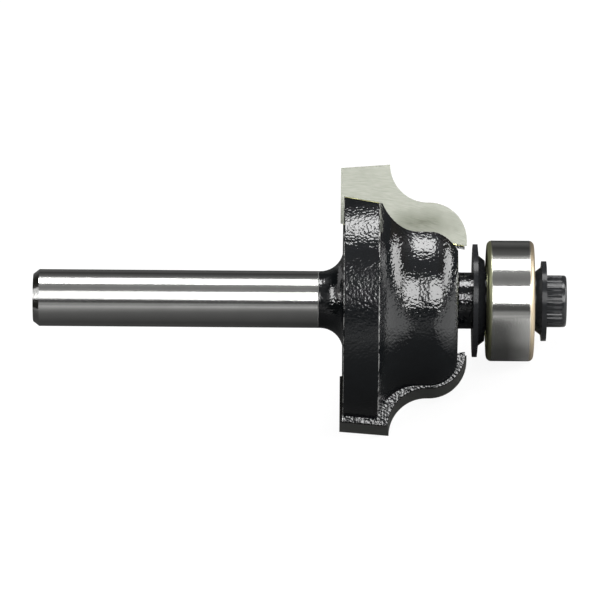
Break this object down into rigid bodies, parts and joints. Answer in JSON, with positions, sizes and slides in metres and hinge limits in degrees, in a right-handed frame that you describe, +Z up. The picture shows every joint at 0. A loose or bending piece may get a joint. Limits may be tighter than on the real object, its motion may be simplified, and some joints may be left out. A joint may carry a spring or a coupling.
{
  "type": "router bit",
  "caption": "Ogee router bit: carbide cutters brazed to a winged black head, a straight shank and a ball-bearing pilot.",
  "frame": {"origin": "on the surface it lies on, below the middle of its bounding box", "axes": "+X along the bit's axis towards the pilot end, which leans down to the bench, +Z up, +Y level and square to both; the bit is rolled about its axis until one cutting corner stops it"},
  "size_m": [0.054, 0.026, 0.0278],
  "materials": {
    "black_coat": "glossy black enamel with light orange peel on the head; the shank is bare ground steel",
    "carbide": "fine ground matte tungsten carbide",
    "braze": "pale silver solder",
    "bearing_steel": "polished bearing steel",
    "cage_steel": "pressed bright sheet",
    "shield_steel": "satin sheet",
    "black_oxide": "black oxide, satin"
  },
  "bodies": {
    "cutter": {"bit_body": "black_coat", "carbide_tip_1": "carbide", "carbide_tip_2": "carbide", "braze_seam_1": "braze", "braze_seam_2": "braze", "rear_dust_washer": "black_oxide", "bearing_inner_ring": "bearing_steel", "front_washer": "black_oxide", "pilot_screw": "black_oxide"},
    "outer_race": {"bearing_outer_ring": "bearing_steel", "rear_shield": "shield_steel", "front_shield": "shield_steel", "rear_snap_ring": "cage_steel", "front_snap_ring": "cage_steel"},
    "cage": {"cage_half_rear": "cage_steel", "cage_half_front": "cage_steel", "cage_rivets": "cage_steel"},
    "ball_1": {"ball_1": "bearing_steel"},
    "ball_2": {"ball_2": "bearing_steel"},
    "ball_3": {"ball_3": "bearing_steel"},
    "ball_4": {"ball_4": "bearing_steel"},
    "ball_5": {"ball_5": "bearing_steel"},
    "ball_6": {"ball_6": "bearing_steel"},
    "ball_7": {"ball_7": "bearing_steel"}
  },
  "joints": [
    {"name": "bearing_spin", "type": "hinge", "parent": "cutter", "child": "outer_race", "pos_m": [0.02053, 0, 0.00666], "axis": [0.9288, 0, -0.3707], "continuous": true},
    {"name": "cage_orbit", "type": "hinge", "parent": "cutter", "child": "cage", "pos_m": [0.02053, 0, 0.00666], "axis": [0.9288, 0, -0.3707], "continuous": true},
    {"name": "ball_1_roll", "type": "hinge", "parent": "cage", "child": "ball_1", "pos_m": [0.02196, 0.00201, 0.01025], "axis": [0.9288, 0, -0.3707], "continuous": true},
    {"name": "ball_2_roll", "type": "hinge", "parent": "cage", "child": "ball_2", "pos_m": [0.02201, -0.00177, 0.01036], "axis": [0.9288, 0, -0.3707], "continuous": true},
    {"name": "ball_3_roll", "type": "hinge", "parent": "cage", "child": "ball_3", "pos_m": [0.02094, -0.00422, 0.00768], "axis": [0.9288, 0, -0.3707], "continuous": true},
    {"name": "ball_4_roll", "type": "hinge", "parent": "cage", "child": "ball_4", "pos_m": [0.01956, -0.00349, 0.00423], "axis": [0.9288, 0, -0.3707], "continuous": true},
    {"name": "ball_5_roll", "type": "hinge", "parent": "cage", "child": "ball_5", "pos_m": [0.01891, -0.00013, 0.0026], "axis": [0.9288, 0, -0.3707], "continuous": true},
    {"name": "ball_6_roll", "type": "hinge", "parent": "cage", "child": "ball_6", "pos_m": [0.01948, 0.00333, 0.00403], "axis": [0.9288, 0, -0.3707], "continuous": true},
    {"name": "ball_7_roll", "type": "hinge", "parent": "cage", "child": "ball_7", "pos_m": [0.02084, 0.00428, 0.00744], "axis": [0.9288, 0, -0.3707], "continuous": true}
  ],
  "couplings": [
    {"joint": "cage_orbit", "follows": "bearing_spin", "ratio": 0.63752},
    {"joint": "ball_1_roll", "follows": "bearing_spin", "ratio": 1.6804},
    {"joint": "ball_2_roll", "follows": "bearing_spin", "ratio": 1.6804},
    {"joint": "ball_3_roll", "follows": "bearing_spin", "ratio": 1.6804},
    {"joint": "ball_4_roll", "follows": "bearing_spin", "ratio": 1.6804},
    {"joint": "ball_5_roll", "follows": "bearing_spin", "ratio": 1.6804},
    {"joint": "ball_6_roll", "follows": "bearing_spin", "ratio": 1.6804},
    {"joint": "ball_7_roll", "follows": "bearing_spin", "ratio": 1.6804}
  ]
}
